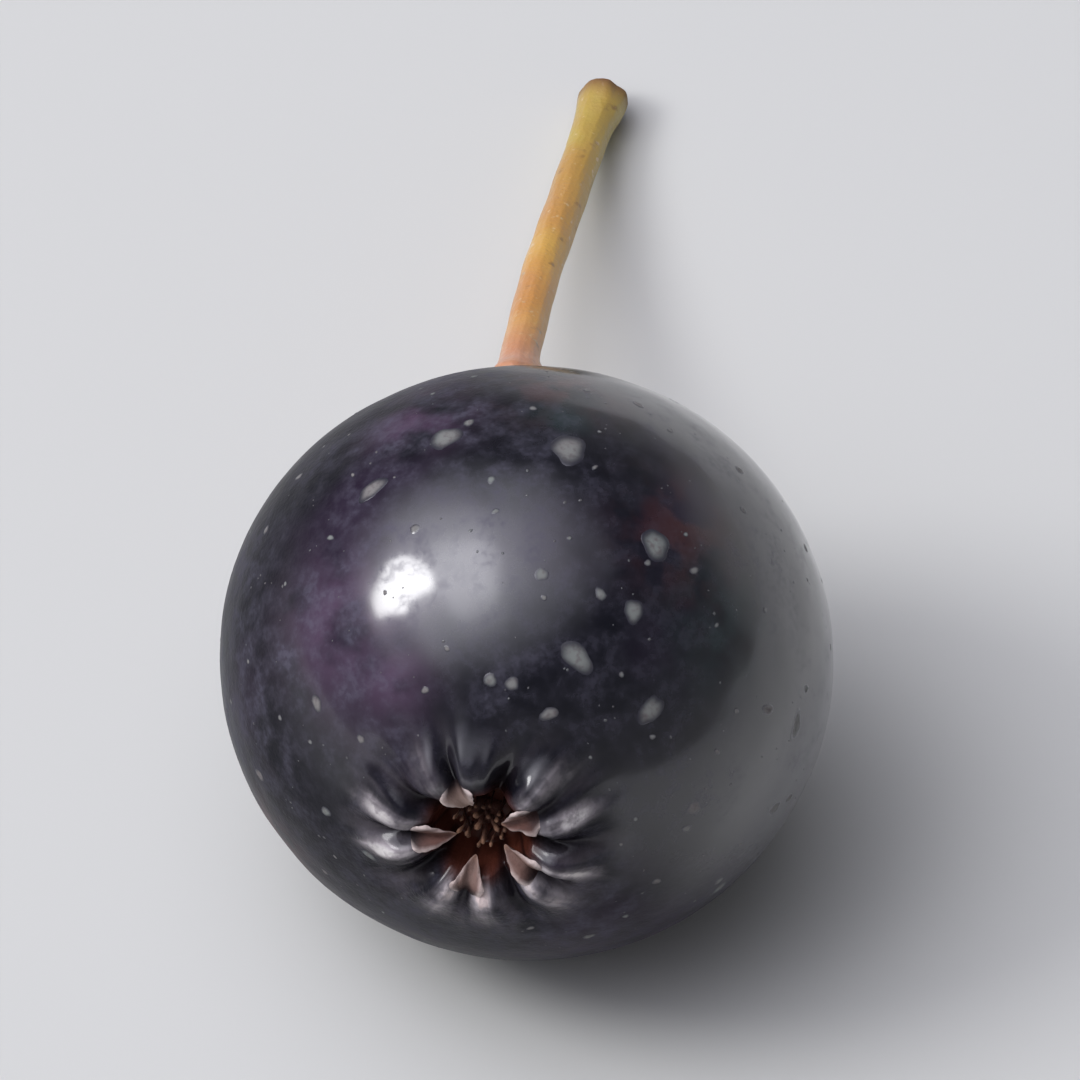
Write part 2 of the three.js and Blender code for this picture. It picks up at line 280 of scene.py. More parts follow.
def crown_wrinkles(radius, angle):
    """Fine folds that the smooth crown lacks: a narrow furrow along the bottom of each slit and crease,
    three pleats to a lobe whose spacing wanders, which run out over the shoulder, and thinner ones
    between."""
    phase = lobe_phase(angle)
    slit_furrow = ((1 - np.cos(phase)) / 2) ** 24
    crease_furrow = ((1 + np.cos(phase)) / 2) ** 30
    pleats = np.cos(3 * phase + 1.3 * np.sin(phase) + 2.4 * np.sin(angle) + 0.5 * radius)
    thin_pleats = np.cos(8 * phase + 3 * np.sin(2 * angle) + 1.1 * radius)
    reach = smooth(0.7, 1.1, radius) * (1 - smooth(1.5, 2.4, radius))
    return (-0.08 * slit_furrow * reach
            - 0.07 * crease_furrow * bell(radius, 1.4, 0.45)
            + 0.036 * pleats * bell(radius, 1.85, 0.65)
            + 0.012 * thin_pleats * bell(radius, 1.5, 0.5))


def swelling(height, angle):
    """The body isn't quite round: its radius is 1 plus three small cosine waves round the axis, which
    fade towards both ends."""
    fade = np.sqrt(np.maximum(0, 1 - (height / HALF_LENGTH) ** 2))
    return 1 + fade * (0.010 * np.cos(angle - 1.1) + 0.006 * np.cos(2 * angle + 0.7)
                       + 0.004 * np.cos(3 * angle))


def crown_height(radius, angle):
    """The body's height with the crown's lift and wrinkles."""
    return body_height(radius) + crown_lift(radius, angle) + crown_wrinkles(radius, angle)


def crown_side(radius, angle):
    """A point of the crown's half: the distance from the axis, swollen, and the crown's height."""
    return round_axis(radius * swelling(body_height(radius), angle), angle, crown_height(radius, angle))


def stalk_side(radius, angle):
    """A point of the stalk's half: the same below the middle, raised by the hollow round the stalk, which
    is flat inside the stalk's foot and has faint radial puckers round it. It leans towards the foot, more
    and more from the widest place to the end."""
    foot = np.maximum(radius, STALK_FOOT_RADIUS)
    hollow = DIMPLE_DEPTH * (1 - smooth(STALK_FOOT_RADIUS, DIMPLE_RADIUS, foot))
    puckers = 0.018 * np.cos(9 * angle + 1.3 * np.sin(2 * angle)) * bell(radius, 1.25, 0.45)
    height = hollow + puckers - body_height(foot)
    points = round_axis(radius * swelling(body_height(radius), angle), angle, height)
    return leaned(points, smooth(0, HALF_LENGTH, body_height(foot)))


def fruit_rings():
    """Rings of the fruit from the stalk's end to the crown, and each point's distance from the axis and
    direction round it: radii evenly spaced in the hollow and in the crown, where the shape turns most, and
    evenly spaced angles over the body between. The skin has shallow dents, two sets of uneven waves."""
    innermost = 0.02
    hollow = np.linspace(innermost, DIMPLE_RADIUS, HOLLOW_RINGS)
    first, last = math.asin(DIMPLE_RADIUS / EQUATOR), math.pi - math.asin(CROWN_RADIUS / EQUATOR)
    body = np.linspace(first, last, BODY_RINGS)
    crown = np.linspace(CROWN_RADIUS, innermost, CROWN_RINGS)
    below = np.concatenate([hollow, EQUATOR * np.sin(body[body < math.pi / 2])[1:]])
    above = np.concatenate([EQUATOR * np.sin(body[body >= math.pi / 2]), crown[1:]])
    radius, angle = np.meshgrid(np.concatenate([below, above]), round_angles(FRUIT_SIDES), indexing="ij")
    rows = len(below)
    points = np.concatenate([stalk_side(radius[:rows], angle[:rows]),
                             crown_side(radius[rows:], angle[rows:])])
    calm = np.ones_like(radius)
    calm[rows:] = smooth(1.2, 2.6, radius[rows:])
    dents = 0.014 * unevenness(points, 2.4, 6, seed=11) + 0.0036 * unevenness(points, 0.7, 1.6, seed=12)
    points = points + unit(points) * (dents * calm)[..., None]
    return points, radius, angle, rows


FRUIT_POINTS, FRUIT_RADIUS, FRUIT_ANGLE, ROWS_BELOW = fruit_rings()
FRUIT_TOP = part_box("fruit")[1].z / MM
FRUIT_MIDDLE = np.array([0, 0, FRUIT_TOP - (FRUIT_POINTS @ LYING.T)[..., 2].max()])


def laid_down(points):
    """Points of the fruit's own frame where the berry lies, with nothing below the resting surface."""
    lying = points @ LYING.T + FRUIT_MIDDLE
    lying[..., 2] = np.maximum(lying[..., 2], 0)
    return lying


# ---- Meshes ----

def body_faces(rings, start):
    """Faces of closed bodies given as an array (bodies, rings, sides, 3), their points numbered from start
    on: quads between neighbouring rings, and a fan of triangles from the middle of each end ring. Faces
    point outwards when the rings run anticlockwise seen from the last ring."""
    bodies, rows, sides = rings.shape[:3]
    index = np.arange(rows * sides).reshape(rows, sides)
    after = np.roll(index, -1, axis=1)
    quads = np.stack([index[:-1], after[:-1], after[1:], index[1:]], -1).reshape(-1, 4)
    first = np.full(sides, rows * sides)
    fans = np.concatenate([np.stack([first, after[0], index[0]], -1),
                           np.stack([first + 1, index[-1], after[-1]], -1)])
    starts = start + np.arange(bodies)[:, None, None] * (rows * sides + 2)
    return (quads + starts).reshape(-1, 4).tolist() + (fans + starts).reshape(-1, 3).tolist()


def with_ends(values):
    """A number or a triple for each point of closed bodies, from an array (bodies, rings, sides) or
    (bodies, rings, sides, 3): the middles of the end rings get those rings' means."""
    bodies, rows, sides, *triple = values.shape
    flat = values.reshape(bodies, rows * sides, *triple)
    return np.concatenate([flat, values[:, :1].mean(2), values[:, -1:].mean(2)], 1).reshape(-1, *triple)


def add_object(name, data):
    """A new object in the scene."""
    added = bpy.data.objects.new(name, data)
    bpy.context.scene.collection.objects.link(added)
    return added


def make_piece(name, shapes, finish, stands_for, marks):
    """A smooth mesh object of arrays of closed bodies, in millimetres, which rides on the berry. Its marks,
    which the finish reads by name, are lists of arrays with a number or a triple for each point of them."""
    points, faces = np.empty((0, 3)), []
    for rings in shapes:
        faces += body_faces(rings, len(points))
        points = np.concatenate([points, with_ends(rings)])
    mesh = bpy.data.meshes.new(name)
    mesh.from_pydata((points * MM).tolist(), [], faces)
    mesh.polygons.foreach_set("use_smooth", np.ones(len(mesh.polygons), bool))
    for mark, arrays in marks.items():
        values = np.concatenate([with_ends(array) for array in arrays])
        kind, field = ("FLOAT", "value") if values.ndim == 1 else ("FLOAT_VECTOR", "vector")
        layer = mesh.attributes.new(mark, kind, "POINT")
        layer.data.foreach_set(field, np.ascontiguousarray(values, np.float32).ravel())
    mesh.materials.append(finish)
    mesh.update()
    piece = add_object(name, mesh)
    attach(piece, "root")
    if stands_for:
        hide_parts(*stands_for)


def make_body(name, rings, finish, stands_for, marks):
    """A piece that is one closed body, with marks for each point of its rings."""
    marks = {mark: [values[None]] for mark, values in marks.items()}
    make_piece(name, [rings[None]], finish, stands_for, marks)


# ---- Shader nodes, and the effects that finishes share ----

class Wiring:
    """Short ways to add nodes to the node tree of a material, an effect or the world."""

    def __init__(self, tree):
        self.tree = tree

    def feed(self, socket, value):
        """Links an output to a socket, or sets the socket to a number or colour."""
        if isinstance(value, bpy.types.NodeSocket):
            self.tree.links.new(value, socket)
        elif isinstance(value, tuple):
            socket.default_value = (*value, 1)
        else:
            socket.default_value = value

    def noise(self, place, scale, detail=2.0):
        """The values of a noise texture."""
        node = self.tree.nodes.new("ShaderNodeTexNoise")
        for socket, value in (("Vector", place), ("Scale", scale), ("Detail", detail)):
            self.feed(node.inputs[socket], value)
        return node.outputs["Fac"]

    def maths(self, operation, a, b, c=0.0, clamp=True):
        """A Math node, whose value is clamped to 0 to 1 unless told otherwise."""
        node = self.tree.nodes.new("ShaderNodeMath")
        node.operation, node.use_clamp = operation, clamp
        for socket, value in zip(node.inputs, (a, b, c)):
            self.feed(socket, value)
        return node.outputs["Value"]

    def times(self, a, b):
        """The product of two shares."""
        return self.maths("MULTIPLY", a, b)

    def ramp(self, value, low, high, to_low=0.0, to_high=1.0, kind="SMOOTHSTEP"):
        """The value from low to high, moved to the range from to_low to to_high, smoothly by default."""
        node = self.tree.nodes.new("ShaderNodeMapRange")
        node.interpolation_type = kind
        for socket, given in zip(node.inputs, (value, low, high, to_low, to_high)):
            self.feed(socket, given)
        return node.outputs["Result"]

    def mix(self, share, a, b, blend="MIX"):
        """Colour a with a share of colour b mixed in, or blended in another way."""
        node = self.tree.nodes.new("ShaderNodeMix")
        node.data_type, node.blend_type = "RGBA", blend
        for socket, value in ((node.inputs[0], share), (node.inputs[6], a), (node.inputs[7], b)):
            self.feed(socket, value)
        return node.outputs[2]

    def layered(self, colour, *layers):
        """A colour under layers, each given as its share and its colour."""
        for share, layer in layers:
            colour = self.mix(share, colour, layer)
        return colour


def new_effect(name, inputs, output):
    """A shader node group with number inputs, a place on the surface and one number output: its wiring,
    its inputs and the socket of its result."""
    group = bpy.data.node_groups.new(name, "ShaderNodeTree")
    group.interface.new_socket("Place", in_out="INPUT", socket_type="NodeSocketVector")
    for label, value in inputs.items():
        socket = group.interface.new_socket(label, in_out="INPUT", socket_type="NodeSocketFloat")
        socket.default_value = value
    group.interface.new_socket(output, in_out="OUTPUT", socket_type="NodeSocketFloat")
    given, result = group.nodes.new("NodeGroupInput"), group.nodes.new("NodeGroupOutput")
    return Wiring(group), given.outputs, result.inputs[output]


def make_patches():
    """Soft-edged patches: a noise of so many lumps to the metre, its values from Low to High stretched
    over 0 to 1."""
    inputs = {"Lumps": 400, "Detail": 3, "Low": 0.4, "High": 0.6}
    effect, given, result = new_effect("patches", inputs, "Mask")
    noise = effect.noise(given["Place"], given["Lumps"], given["Detail"])
    effect.feed(result, effect.ramp(noise, given["Low"], given["High"]))
    return effect.tree


def make_grain():
    """The relief of a grain: a coarse noise, and a fine one of a given share."""
    inputs = {"Coarse": 1500, "Fine": 9000, "Share": 0.5}
    effect, given, result = new_effect("grain", inputs, "Height")
    coarse, fine = (effect.noise(given["Place"], given[scale]) for scale in ("Coarse", "Fine"))
    effect.feed(result, effect.maths("MULTIPLY_ADD", fine, given["Share"], coarse, clamp=False))
    return effect.tree


PATCHES = make_patches()
GRAIN = make_grain()


class Finish(Wiring):
    """A material being put together: a Principled shader with its plain values given by socket name, and
    ways to add what varies over the surface."""

    def __init__(self, name, **plain):
        self.material = bpy.data.materials.new(name)
        self.material.use_nodes = True
        super().__init__(self.material.node_tree)
        self.shader = self.tree.nodes["Principled BSDF"]
        for socket, value in plain.items():
            self.shader.inputs[socket.replace("_", " ")].default_value = value
        self.place = self.tree.nodes.new("ShaderNodeTexCoord").outputs["Object"]

    def effect(self, group, **inputs):
        """A shared effect, on this piece's own place, with its values."""
        node = self.tree.nodes.new("ShaderNodeGroup")
        node.node_tree = group
        self.feed(node.inputs["Place"], inputs.pop("Place", self.place))
        for label, value in inputs.items():
            self.feed(node.inputs[label], value)
        return node.outputs[0]

    def patches(self, lumps, low, high, detail=3, **place):
        """A mask of soft-edged patches."""
        return self.effect(PATCHES, Lumps=lumps, Low=low, High=high, Detail=detail, **place)

    def mark(self, name, kind="Fac"):
        """One of the values that the mesh carries for each point."""
        node = self.tree.nodes.new("ShaderNodeAttribute")
        node.attribute_name = name
        return node.outputs[kind]

    def slant(self):
        """0 where the surface is seen square on, 1 where it is seen edge on."""
        node = self.tree.nodes.new("ShaderNodeLayerWeight")
        node.inputs["Blend"].default_value = 0.5
        return node.outputs["Facing"]

    def relief(self, height, depth, under=None):
        """A Bump node whose height is a depth in metres, over an earlier one."""
        node = self.tree.nodes.new("ShaderNodeBump")
        self.feed(node.inputs["Height"], height)
        node.inputs["Distance"].default_value = depth
        if under is not None:
            self.feed(node.inputs["Normal"], under)
        return node.outputs["Normal"]

    def dress(self, **varying):
        """Feeds the shader's sockets and gives back the finished material."""
        for socket, value in varying.items():
            self.feed(self.shader.inputs[socket.replace("_", " ")], value)
        return self.material


# ---- Finishes ----

WAXY = {"IOR": 1.14, "Coat_Roughness": 0.12, "Coat_IOR": 2.1, "Specular_Tint": (0.92, 0.87, 1, 1)}


def slanting_gloss(finish, square_on):
    """Weight of the clear coat: a given one where the surface is seen square on, and the mark polish where
    it is seen at a slant."""
    return finish.ramp(finish.slant(), 0.10, 0.5, square_on, finish.mark("polish"))


def waxy_bloom(skin):
    """Mask of the bloom: wide patches that are made of small ones, speckled, and half rubbed off where the
    mark polish is high."""
    bloom = skin.times(skin.patches(300, 0.30, 0.64, 4), skin.patches(2300, 0.32, 0.74, 4))
    speckled = skin.ramp(skin.patches(7500, 0.30, 0.70, 3), 0, 1, 0.45, 1.0)
    rubbed = skin.ramp(skin.mark("polish"), 0, 1, 1.0, 0.5)
    return skin.times(skin.times(bloom, speckled), rubbed)


def body_colour(skin, bloom):
    """Near black with a blue cast, under violet, maroon and greenish tints, a thin grey-blue bloom, and a
    crimson painted reflection of the stalk round the stalk's end."""
    return skin.layered(
        (0.0055, 0.0055, 0.009),
        (skin.patches(210, 0.50, 0.68), (0.016, 0.009, 0.022)),
        *((skin.times(skin.mark(name), skin.patches(*noise, 4)), tint)
          for name, (tint, noise, _) in TINTS.items()),
        (skin.maths("MULTIPLY_ADD", bloom, 0.52, 0.01), (0.122, 0.115, 0.156)),
        # painted reflection: crimson round the stalk's end stands for the stalk mirrored in the skin
        (skin.times(skin.mark("painted_stalk_reflection"), 0.5), (0.07, 0.013, 0.018)),
    )


def crown_colour(skin, colour):
    """The crown over the skin's colour: downy streaks that run outwards, ridges that are grey at their foot
    and palest along their flaking crests, pinkish on two sides and whiter on the other two, which is pale
    down with a painted highlight over it, red-brown flesh in the cup, and painted shade that darkens the
    folds."""
    streaks = skin.patches(6, 0.40, 0.64, 2, Place=skin.mark("outwards", "Vector"))
    flaking = skin.ramp(skin.patches(4200, 0.34, 0.62, 4), 0, 1, 0.70, 1.0)
    # pale down along the crests, with a painted highlight where the light catches them
    crest_down_and_highlight = skin.times(skin.mark("crest_down_and_highlight"), flaking)
    palest = skin.mix(skin.mark("crest_side"), (0.74, 0.61, 0.59), (0.70, 0.67, 0.655))
    return skin.layered(
        colour,
        (skin.times(skin.times(skin.mark("crown"), streaks), 0.22), (0.22, 0.19, 0.21)),
        (skin.ramp(crest_down_and_highlight, 0.0, 0.6, 0.0, skin.ramp(streaks, 0, 1, 0.45, 0.9)), (0.42, 0.38, 0.40)),
        (skin.ramp(crest_down_and_highlight, 0.4, 0.9, 0.0, skin.ramp(streaks, 0, 1, 0.65, 1.0)), palest),
        (skin.mark("cup"), (0.075, 0.021, 0.013)),
        # painted shade: the crown's slits and creases are darkened towards black
        (skin.times(skin.mark("painted_fold_shade"), 0.75), (0.005, 0.003, 0.004)),
    )


def skin_relief(skin):
    """Fine pores all over, and on the crown ribs that run outwards and small crinkles."""
    pores = skin.relief(skin.effect(GRAIN, Coarse=2600, Fine=14000, Share=0.35), 0.000014)
    ribs = skin.effect(GRAIN, Place=skin.mark("outwards", "Vector"), Coarse=7, Fine=16, Share=0.35)
    ribs = skin.relief(skin.times(ribs, skin.mark("crown")), 0.00006, pores)
    crinkles = skin.effect(GRAIN, Coarse=4000, Fine=15000, Share=0.4)
    return skin.relief(skin.times(crinkles, skin.mark("crown")), 0.00004, ribs)


def berry_skin():
    """Waxy skin. A clear coat gives a wet-looking gloss over a broad soft shine: less under the bloom and
    on the crown, and at a slant most on the side where the bloom is rubbed off."""
    skin = Finish("berry_skin", **WAXY)
    bloom, cup = waxy_bloom(skin), skin.mark("cup")
    veiled = skin.ramp(skin.maths("MAXIMUM", bloom, cup), 0, 1, 1.0, 0.45)
    gloss = skin.times(veiled, slanting_gloss(skin, 0.6))
    dry = skin.ramp(skin.maths("MAXIMUM", skin.mark("crown"), cup), 0.1, 0.8, 1.0, 0.28)
    return skin.dress(Base_Color=crown_colour(skin, body_colour(skin, bloom)),
                      Roughness=skin.ramp(bloom, 0, 1, 0.36, 0.54),
                      Coat_Weight=skin.times(gloss, dry),
                      Normal=skin_relief(skin))


def corky_lenticels():
    """Dry cork: matte pale grey, a little browner or greener in some, with dark flecks and a crumbly grain,
    that passes into the dark glossy skin towards its edge."""
    cork = Finish("corky_lenticels", **WAXY)
    skinlike = cork.ramp(cork.mark("edge"), 0.0, 1.0)
    colour = cork.layered(
        (0.21, 0.195, 0.19),
        (cork.patches(500, 0.35, 0.65), (0.20, 0.215, 0.205)),
        (cork.patches(9000, 0.45, 0.75), (0.145, 0.13, 0.13)),
        (skinlike, (0.030, 0.029, 0.040)),
    )
    return cork.dress(Base_Color=colour,
                      Roughness=cork.ramp(skinlike, 0, 1, 0.7, 0.4),
                      Coat_Weight=cork.times(skinlike, slanting_gloss(cork, 0.5)),
                      Normal=cork.relief(cork.effect(GRAIN, Coarse=9000, Fine=30000, Share=0.5), 0.000008))


def dried_sepal_skin():
    """Dried sepal: dark red-brown, nearly black where it leaves the skin, paler in some by their own colour
    together with painted light on the tips that catch the light, and pale pinkish along its edges like the
    ridges that it grows from, more faintly towards its tan tip."""
    dry = Finish("dried_sepal_skin", IOR=1.3)
    tipward = dry.mark("tipward")
    free = dry.ramp(tipward, 0.2, 0.6)
    edge = dry.times(dry.mark("edge"), dry.ramp(dry.patches(2500, 0.35, 0.6), 0, 1, 0.55, 1.0))
    colour = dry.layered(
        (0.014, 0.009, 0.011),
        (free, (0.100, 0.030, 0.022)),
        (dry.times(dry.patches(3000, 0.4, 0.65), 0.6), (0.045, 0.014, 0.012)),
        # paler tips: their own tan together with painted light on those that catch it
        (dry.times(dry.mark("paleness_and_light"), free), (0.48, 0.36, 0.31)),
        (dry.times(edge, dry.ramp(tipward, 0.35, 0.85, 0.92, 0.3)), (0.72, 0.60, 0.57)),
        (dry.ramp(tipward, 0.86, 1.0, 0.0, 0.6), (0.34, 0.20, 0.14)),
    )
    grain = dry.relief(dry.effect(GRAIN, Coarse=5000, Fine=22000, Share=0.5), 0.00003)
    return dry.dress(Base_Color=colour, Roughness=0.6, Normal=grain)


def withered_flower():
    """Withered styles and stamens: dark red-brown, tan at their tips, crumbly."""
    dead = Finish("withered_flower", IOR=1.4)
    colour = dead.layered(
        (0.085, 0.028, 0.018),
        (dead.ramp(dead.mark("tipward"), 0.4, 1.0), (0.24, 0.125, 0.075)),
        (dead.times(dead.patches(6000, 0.4, 0.6), 0.6), (0.045, 0.018, 0.012)),
    )
    grain = dead.relief(dead.effect(GRAIN, Coarse=8000, Fine=26000, Share=0.6), 0.00003)
    return dead.dress(Base_Color=colour, Roughness=0.75, Normal=grain)


def stalk_bark():
    """Thin smooth bark: crimson and pink at the fruit, orange in the middle, yellow-green towards the free
    end, redder on the side that had the sun, with small pale and dark specks and a brown broken knob."""
    bark = Finish("stalk_bark", IOR=1.45, Coat_Roughness=0.22, Subsurface_Weight=0.12,
                  Subsurface_Radius=(1.0, 0.45, 0.15), Subsurface_Scale=0.0003)
    along, knob = bark.mark("along"), bark.mark("knob")
    blush = bark.times(bark.mark("sunny"), bark.patches(350, 0.35, 0.6))
    colour = bark.layered(
        (0.46, 0.15, 0.085),
        (bark.ramp(along, 0.0, 0.16), (0.64, 0.35, 0.20)),
        (bark.ramp(along, 0.26, 0.42), (0.66, 0.37, 0.085)),
        (bark.ramp(along, 0.5, 0.95), (0.48, 0.40, 0.08)),
        (bark.times(blush, 0.45), (0.45, 0.12, 0.06)),
        (bark.times(bark.patches(5200, 0.62, 0.70), 0.7), (0.66, 0.50, 0.30)),
        (bark.times(bark.patches(2600, 0.60, 0.74), 0.6), (0.16, 0.06, 0.03)),
        (knob, (0.17, 0.075, 0.035)),
    )
    grain = bark.relief(bark.effect(GRAIN, Coarse=2800, Fine=12000, Share=0.4), 0.00004)
    return bark.dress(Base_Color=colour, Roughness=bark.ramp(knob, 0, 1, 0.42, 0.8),
                      Coat_Weight=bark.ramp(knob, 0, 1, 0.45, 0.0), Normal=grain)


# ---- The fruit and its lenticels ----

def tinted(patches):
    """How strongly each point of the skin is tinted: the largest of the patches' bells of the angle between
    the point's direction from the middle and the patch's."""
    polar, around, reach = np.radians(np.array(patches, float).T)
    ways = round_axis(np.sin(polar), around, np.cos(polar))
    return bell(np.arccos(np.clip(unit(FRUIT_POINTS) @ ways.T, -1, 1)), 0, reach).max(-1)


def polished(ways):
    """How glossy the skin is at a slant, for ways from the fruit's middle as the berry lies: from a little
    to fully, by a smooth step of how nearly they point to the rubbed side."""
    least = 0.04
    return least + (1 - least) * smooth(0.1, 0.75, unit(ways) @ RUBBED_SIDE)


def make_fruit(finish):
    """The skin of the fruit, with marks for the cup, the crown, painted shade in its folds, its crests, a
    painted reflection of the stalk round the stalk end, the rubbed side and the tints, and the way outwards
    from the crown, along which its wrinkles run. Crests are palest beside a lobe's middle, close to the cup
    on two sides and farther out on the other two: pale down under a painted highlight where the light
    catches them, and painted shade that dims the crown's streaks and crests on one side."""
    radius, angle = FRUIT_RADIUS, FRUIT_ANGLE
    on_crown = np.zeros_like(radius)
    on_crown[ROWS_BELOW:] = 1
    slit, crease = crown_folds(angle)
    from_lobe = np.arccos(np.cos(lobe_phase(angle)))
    # painted shade: the crown's streaks and crests are dimmed on one side round the axis
    pale = 1 - 0.85 * bell(np.arccos(np.cos(angle - math.radians(SHADED_CREST))), 0, 0.85)
    # painted highlight: the crests are palest, and reach farther out, on two opposite sides where the light
    # catches them
    aside = np.cos(angle - math.radians(LIT_CREST)) ** 2
    beside = bell(from_lobe, 1.15, 0.72 - 0.22 * aside)
    close = (1 - 0.45 * aside) * bell(radius, 1.35, 0.35)
    far = (0.35 + 0.65 * aside) * bell(radius, 1.9, 0.45)
    reach = on_crown * (1 - smooth(1.4, 2.3, radius))
    make_body("fruit_skin", laid_down(FRUIT_POINTS), finish, ["fruit"], {
        "cup": on_crown * (1 - smooth(0.85, 1.3, radius)),
        "crown": on_crown * smooth(0.7, 1.0, radius) * (1 - smooth(1.9, 3.0, radius)) * pale,
        # painted shade in the crown's slits and creases, for the colour to darken
        "painted_fold_shade": reach * smooth(0.35, 0.95, np.maximum(slit, 0.8 * crease)) * smooth(0.5, 0.9, radius),
        "crest_down_and_highlight": on_crown * pale * beside * np.maximum(close, far),
        "crest_side": aside,
        # painted reflection of the stalk, round the stalk's end
        "painted_stalk_reflection": (1 - on_crown) * (1 - smooth(0.8, 2.6, radius)),
        "polish": polished(FRUIT_POINTS @ LYING.T),
        **{name: tinted(patches) for name, (_, _, patches) in TINTS.items()},
        "outwards": round_axis(1, angle, 0.12 * radius),
    })


def skin_places(polar, around):
    """The skin points nearest to directions given as degrees from the crown and degrees round the axis: the
    ring whose mean slant from the middle is closest, and the side on it. With the outward normals there,
    both as the berry lies."""
    sides, step = FRUIT_SIDES, 2
    slant = np.degrees(np.arctan2(FRUIT_RADIUS[:, 0], FRUIT_POINTS[..., 2].mean(1)))
    row = np.clip(np.abs(slant[:, None] - polar).argmin(0), step, len(slant) - 1 - step)
    side = np.round(around / 360 * sides).astype(int) % sides
    onward = FRUIT_POINTS[row + step, side] - FRUIT_POINTS[row - step, side]
    sideways = FRUIT_POINTS[row, (side + step) % sides] - FRUIT_POINTS[row, side - step]
    normals = unit(np.cross(sideways, onward))
    return laid_down(FRUIT_POINTS[row, side]), normals @ LYING.T


def lenticel_domes(polar, around, size, stretch, height, rings, sides, seed):
    """Low closed domes on the skin. Each is an uneven oval, its radius times 1 plus three cosine waves
    round it and stretched one way. The rings' heights are shares of the dome's, the lowest under the skin,
    less the fall of the round skin: the distance squared over twice its radius."""
    chance = np.random.default_rng(seed)
    places, normals = skin_places(polar, around)
    turned = chance.uniform(0, math.pi, len(places))
    side = unit(np.cross(normals, unit(chance.normal(size=(len(places), 3)))))
    front = np.cross(normals, side)
    angle = round_angles(sides)
    turned = turned[:, None]
    edge = (1 + 0.08 * np.cos(2 * angle + turned) + 0.07 * np.cos(3 * angle + 2.1 * turned)
            + 0.04 * np.cos(5 * angle + 3.7 * turned))
    share, lift, _ = np.array(rings).T
    spread = (size[:, None] * edge)[:, None, :] * share[None, :, None]
    x = spread * np.cos(angle) * stretch[:, None, None]
    y = spread * np.sin(angle)
    z = (size * height)[:, None, None] * lift[None, :, None] - (x ** 2 + y ** 2) / (2 * EQUATOR)
    return (places[:, None, None] + x[..., None] * side[:, None, None] + y[..., None] * front[:, None, None]
            + z[..., None] * normals[:, None, None])


def scattered(count, jitter, seed):
    """Directions spread evenly over the fruit on a golden-angle spiral, each moved a little by chance, away
    from the crown, the stalk and the resting flat. Also the generator, to draw more from."""
    chance = np.random.default_rng(seed)
    rank = np.arange(count) + 0.5
    polar = np.degrees(np.arccos(1 - 2 * rank / count)) + chance.normal(0, jitter, count)
    aside = chance.normal(0, jitter, count) / np.sin(np.radians(np.clip(polar, 8, 172)))
    around = (rank * GOLDEN_ANGLE + aside) % 360
    crown_edge, stalk_edge, lowest = 25, 160, 0.35
    places, _ = skin_places(polar, around)
    kept = (polar > crown_edge) & (polar < stalk_edge) & (places[:, 2] > lowest)
    return polar[kept], around[kept], chance


def add_lenticels(name, shapes, table, finish):
    """A piece of lenticels, with marks for how skinlike their colour is and for the gloss of the skin that
    they are on."""
    skinlike = np.array(table)[None, :, 2:]
    make_piece(name, shapes, finish, [], {
        "edge": [np.tile(skinlike, (len(rings), 1, rings.shape[2])) for rings in shapes],
        "polish": [polished(rings - FRUIT_MIDDLE) for rings in shapes],
    })


def make_lenticels(finish):
    """Three sets: the clear ones, a wide scatter of small ones, and many specks too small to tell apart.
    The first two are made wider than they look, because their edges have the colour of the skin."""
    clear_wider, small_wider = 1.45, 1.15
    polar, around, size, stretch = np.array(CLEAR_LENTICELS, float).T
    size = size * clear_wider
    clear = lenticel_domes(polar, around, size, stretch, 0.04, DOME_RINGS, CLEAR_SIDES, seed=21)
    polar, around, chance = scattered(SMALL_LENTICELS, jitter=4.2, seed=22)
    size = (0.04 + 0.085 * chance.random(len(polar)) ** 1.8) * small_wider
    stretch = 1 + 0.7 * chance.random(len(polar)) ** 2
    small = lenticel_domes(polar, around, size, stretch, 0.10, DOME_RINGS, SMALL_SIDES, seed=23)
    add_lenticels("lenticels", [clear, small], DOME_RINGS, finish)
    polar, around, chance = scattered(SPECKS, jitter=6, seed=24)
    size = 0.014 + 0.02 * chance.random(len(polar)) ** 2
    stretch = 1 + 0.5 * chance.random(len(polar))
    specks = lenticel_domes(polar, around, size, stretch, 0.4, SPECK_RINGS, SPECK_SIDES, seed=25)
    add_lenticels("lenticel_specks", [specks], SPECK_RINGS, finish)


# ---- The crown's dried pieces ----

